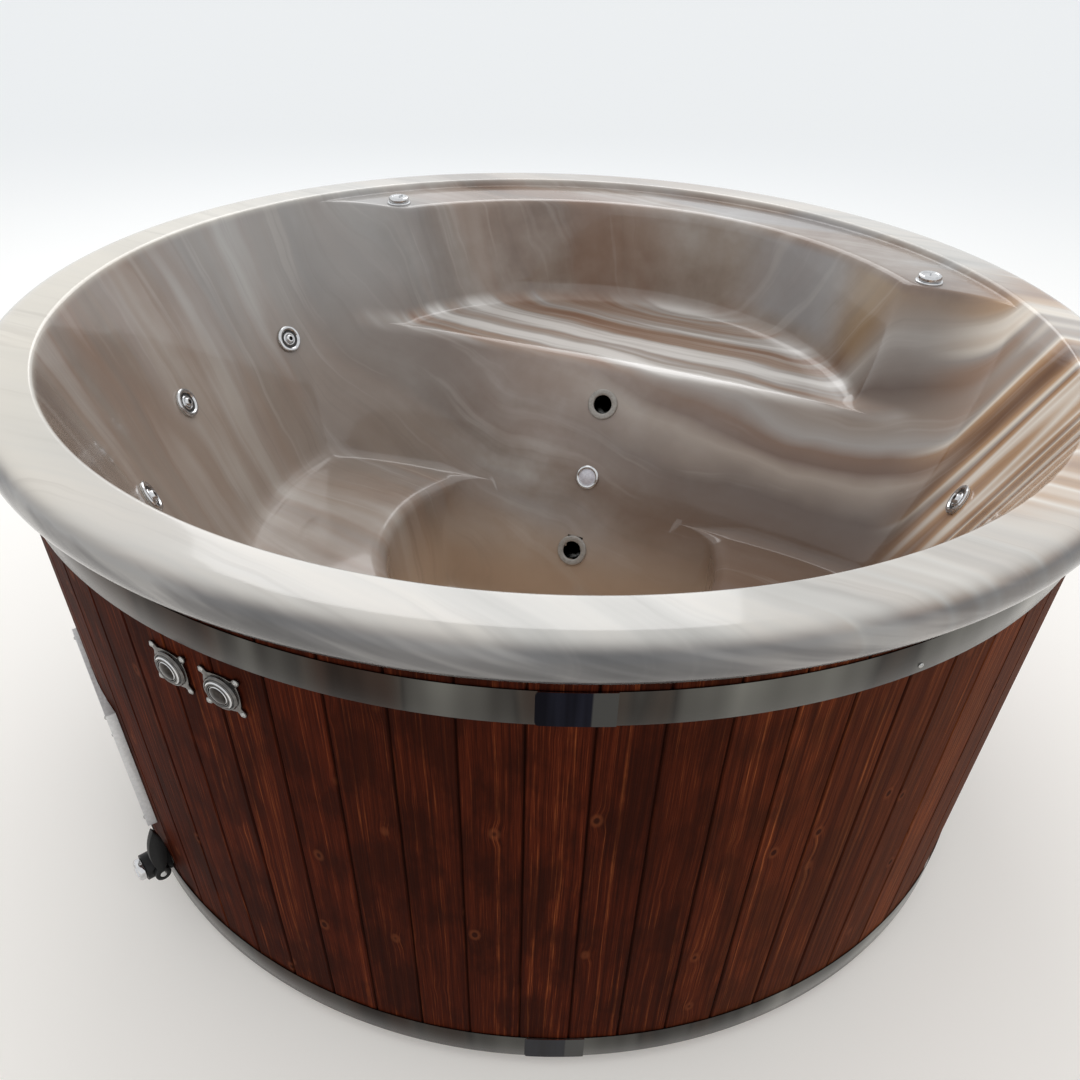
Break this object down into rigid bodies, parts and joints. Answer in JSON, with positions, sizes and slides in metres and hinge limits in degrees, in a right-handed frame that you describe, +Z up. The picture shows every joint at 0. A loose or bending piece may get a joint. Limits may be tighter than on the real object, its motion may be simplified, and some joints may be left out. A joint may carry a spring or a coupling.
{
  "type": "hot tub",
  "caption": "Round hot tub: moulded shell with low seats and a raised seat in stave cladding with steel hoops, massage jets, air controls, buttons, lamp, pump and drain valve",
  "frame": {"origin": "middle of the base on the floor, on the tub's axis", "axes": "+Z up; the picture looks along +Y, with +X to the right"},
  "size_m": [1.992, 1.992, 0.9658],
  "materials": {
    "shell": "glossy marbled acrylic",
    "staves": "mahogany-stained spruce",
    "hoop_steel": "polished strip",
    "insulation": "soft mat",
    "timber": "sawn",
    "screw_steel": "bright",
    "white_plastic": "moulded",
    "chrome": "mirror bright",
    "lens": "frosted",
    "port_grey": "moulded",
    "pipe_steel": "drawn tube",
    "grille_grey": "moulded",
    "black_plastic": "moulded",
    "motor_grey": "painted casting",
    "box_grey": "moulded",
    "clear_tube": "flexible tube"
  },
  "bodies": {
    "jet_face_1": {"jet_face_1": "chrome"},
    "jet_nozzle_1": {"jet_nozzle_1": "chrome"},
    "jet_face_2": {"jet_face_2": "chrome"},
    "jet_nozzle_2": {"jet_nozzle_2": "chrome"},
    "jet_face_3": {"jet_face_3": "chrome"},
    "jet_nozzle_3": {"jet_nozzle_3": "chrome"},
    "jet_face_4": {"jet_face_4": "chrome"},
    "jet_nozzle_4": {"jet_nozzle_4": "chrome"},
    "jet_face_5": {"jet_face_5": "chrome"},
    "jet_nozzle_5": {"jet_nozzle_5": "chrome"},
    "jet_face_6": {"jet_face_6": "chrome"},
    "jet_nozzle_6": {"jet_nozzle_6": "chrome"},
    "jet_face_7": {"jet_face_7": "chrome"},
    "jet_nozzle_7": {"jet_nozzle_7": "chrome"},
    "jet_face_8": {"jet_face_8": "chrome"},
    "jet_nozzle_8": {"jet_nozzle_8": "chrome"},
    "air_knob_left": {"air_knob_left": "chrome"},
    "air_knob_right": {"air_knob_right": "chrome"},
    "button_cap_1": {"button_cap_1": "chrome"},
    "button_cap_2": {"button_cap_2": "chrome"},
    "drain_lever": {"drain_lever": "black_plastic", "drain_valve_ball": "chrome"},
    "pump_impeller": {"pump_impeller": "black_plastic"},
    "tub": {"air_control_bases": "chrome", "air_ring": "white_plastic", "air_tubes": "clear_tube", "base_beams": "timber", "base_board": "timber", "button_bodies": "chrome", "button_plates": "chrome", "cable_gland": "black_plastic", "control_box": "box_grey", "drain_outlet": "chrome", "drain_pipe": "white_plastic", "drain_strainer": "chrome", "drain_valve_body": "black_plastic", "heater_pipes": "pipe_steel", "heater_ports": "port_grey", "heater_roses": "pipe_steel", "insulation_wrap": "insulation", "jet_bodies": "white_plastic", "lamp_body": "white_plastic", "lamp_lens": "lens", "lamp_ring": "chrome", "lower_hoop": "hoop_steel", "pressure_pipe": "white_plastic", "pump_motor": "motor_grey", "pump_volute": "black_plastic", "screws": "screw_steel", "staves_back": "staves", "staves_front": "staves", "staves_left": "staves", "staves_right": "staves", "suction_cover": "white_plastic", "suction_fitting": "white_plastic", "support_posts": "timber", "tub_shell": "shell", "upper_hoop": "hoop_steel", "vent_grille": "grille_grey", "water_ring": "white_plastic"}
  },
  "joints": [
    {"name": "jet_face_1_turn", "type": "hinge", "parent": "tub", "child": "jet_face_1", "pos_m": [-0.62833, 0.4367, 0.69449], "axis": [0.738, -0.5129, 0.4386], "range_deg": [0, 90]},
    {"name": "jet_nozzle_1_swivel", "type": "hinge", "parent": "jet_face_1", "child": "jet_nozzle_1", "pos_m": [-0.62833, 0.4367, 0.69449], "axis": [-0.5707, -0.8211, 0], "range_deg": [-12, 12]},
    {"name": "jet_face_2_turn", "type": "hinge", "parent": "tub", "child": "jet_face_2", "pos_m": [-0.76046, 0.08492, 0.69449], "axis": [0.8931, -0.0997, 0.4386], "range_deg": [0, 90]},
    {"name": "jet_nozzle_2_swivel", "type": "hinge", "parent": "jet_face_2", "child": "jet_nozzle_2", "pos_m": [-0.76046, 0.08492, 0.69449], "axis": [-0.111, -0.9938, 0], "range_deg": [-12, 12]},
    {"name": "jet_face_3_turn", "type": "hinge", "parent": "tub", "child": "jet_face_3", "pos_m": [-0.70918, -0.28735, 0.69449], "axis": [0.8329, 0.3375, 0.4386], "range_deg": [0, 90]},
    {"name": "jet_nozzle_3_swivel", "type": "hinge", "parent": "jet_face_3", "child": "jet_nozzle_3", "pos_m": [-0.70918, -0.28735, 0.69449], "axis": [0.3755, -0.9268, 0], "range_deg": [-12, 12]},
    {"name": "jet_face_4_turn", "type": "hinge", "parent": "tub", "child": "jet_face_4", "pos_m": [-0.48686, -0.59031, 0.69449], "axis": [0.5718, 0.6933, 0.4386], "range_deg": [0, 90]},
    {"name": "jet_nozzle_4_swivel", "type": "hinge", "parent": "jet_face_4", "child": "jet_nozzle_4", "pos_m": [-0.48686, -0.59031, 0.69449], "axis": [0.7715, -0.6363, 0], "range_deg": [-12, 12]},
    {"name": "jet_face_5_turn", "type": "hinge", "parent": "tub", "child": "jet_face_5", "pos_m": [-0.14713, -0.75091, 0.69449], "axis": [0.1728, 0.8819, 0.4386], "range_deg": [0, 90]},
    {"name": "jet_nozzle_5_swivel", "type": "hinge", "parent": "jet_face_5", "child": "jet_nozzle_5", "pos_m": [-0.14713, -0.75091, 0.69449], "axis": [0.9813, -0.1923, 0], "range_deg": [-12, 12]},
    {"name": "jet_face_6_turn", "type": "hinge", "parent": "tub", "child": "jet_face_6", "pos_m": [0.22809, -0.7304, 0.69449], "axis": [-0.2679, 0.8578, 0.4386], "range_deg": [0, 90]},
    {"name": "jet_nozzle_6_swivel", "type": "hinge", "parent": "jet_face_6", "child": "jet_nozzle_6", "pos_m": [0.22809, -0.7304, 0.69449], "axis": [0.9545, 0.2981, 0], "range_deg": [-12, 12]},
    {"name": "jet_face_7_turn", "type": "hinge", "parent": "tub", "child": "jet_face_7", "pos_m": [0.5483, -0.53373, 0.69449], "axis": [-0.644, 0.6269, 0.4386], "range_deg": [0, 90]},
    {"name": "jet_nozzle_7_swivel", "type": "hinge", "parent": "jet_face_7", "child": "jet_nozzle_7", "pos_m": [0.5483, -0.53373, 0.69449], "axis": [0.6975, 0.7166, 0], "range_deg": [-12, 12]},
    {"name": "jet_face_8_turn", "type": "hinge", "parent": "tub", "child": "jet_face_8", "pos_m": [0.73627, -0.20835, 0.69449], "axis": [-0.8647, 0.2447, 0.4386], "range_deg": [0, 90]},
    {"name": "jet_nozzle_8_swivel", "type": "hinge", "parent": "jet_face_8", "child": "jet_nozzle_8", "pos_m": [0.73627, -0.20835, 0.69449], "axis": [0.2723, 0.9622, 0], "range_deg": [-12, 12]},
    {"name": "air_knob_left_turn", "type": "hinge", "parent": "tub", "child": "air_knob_left", "pos_m": [-0.39148, 0.69193, 0.948], "axis": [0, 0, 1], "range_deg": [0, 180]},
    {"name": "air_knob_right_turn", "type": "hinge", "parent": "tub", "child": "air_knob_right", "pos_m": [0.75821, 0.23905, 0.948], "axis": [0, 0, 1], "range_deg": [0, 180]},
    {"name": "button_cap_1_press", "type": "slide", "parent": "tub", "child": "button_cap_1", "axis": [0.5242, 0.8488, 0.0685], "range_m": [0, 0.003], "stiffness_N_per_m": 800},
    {"name": "button_cap_2_press", "type": "slide", "parent": "tub", "child": "button_cap_2", "axis": [0.442, 0.8944, 0.0685], "range_m": [0, 0.003], "stiffness_N_per_m": 800},
    {"name": "drain_lever_turn", "type": "hinge", "parent": "tub", "child": "drain_lever", "pos_m": [-0.7032, -0.60059, 0.108], "axis": [0.6494, -0.7604, 0], "range_deg": [0, 90]},
    {"name": "pump_impeller_spin", "type": "hinge", "parent": "tub", "child": "pump_impeller", "pos_m": [-0.44173, -0.16078, 0.23], "axis": [-0.9397, -0.342, 0], "continuous": true}
  ]
}
